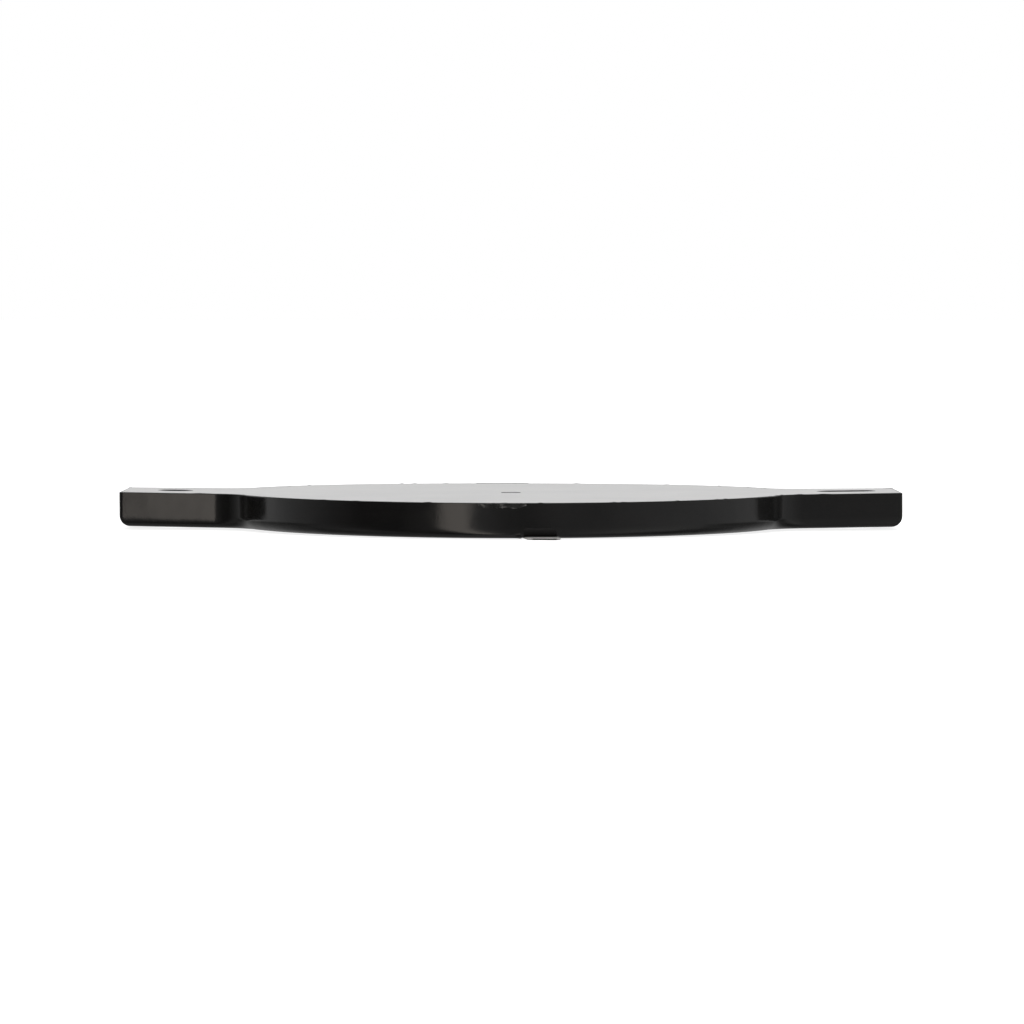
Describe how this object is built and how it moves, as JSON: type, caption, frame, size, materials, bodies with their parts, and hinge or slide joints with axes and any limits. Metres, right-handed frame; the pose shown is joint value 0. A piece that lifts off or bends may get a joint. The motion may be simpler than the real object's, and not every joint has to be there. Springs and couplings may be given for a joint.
{
  "type": "kick paddle",
  "caption": "Flat round padded strike target with a tapered grip at each end, a hanging hole, a strap slot and a blank fabric label that folds.",
  "frame": {"origin": "middle of the striking face, which faces down and is what the paddle rests on", "axes": "+X along the two grips towards the strap slot, +Y away from the labelled edge, +Z from the striking face up to the back panel"},
  "size_m": [0.42, 0.3219, 0.0188],
  "materials": {
    "cover_leather": "satin",
    "back_sheet": "satin",
    "edge_band": "satin",
    "soft_foam": "matte",
    "firm_foam": "matte",
    "board": "matte",
    "grommet": "satin",
    "thread": "satin",
    "label": "matte"
  },
  "bodies": {
    "paddle": {"strike_cover": "cover_leather", "cover_thread": "thread", "target_thread": "thread", "soft_foam": "soft_foam", "core_foam": "firm_foam", "grip_pad_left": "firm_foam", "grip_pad_right": "firm_foam", "grip_core_left": "firm_foam", "grip_core_right": "firm_foam", "stiffener_board": "board", "back_panel": "back_sheet", "edge_band_left": "edge_band", "edge_band_right": "edge_band", "seam_patch_near": "edge_band", "seam_patch_far": "edge_band", "hang_grommet": "grommet", "hang_grommet_washer": "grommet", "slot_grommet": "grommet", "slot_grommet_washer": "grommet", "vent_grommet": "grommet", "label_tail": "label", "label_bartack": "thread"},
    "label": {"label_flag": "label"}
  },
  "joints": [
    {"name": "label_fold", "type": "hinge", "parent": "paddle", "child": "label", "pos_m": [0.01568, -0.1525, 0.00045], "axis": [-0.9948, -0.1023, 0], "range_deg": [-85, 85]}
  ]
}
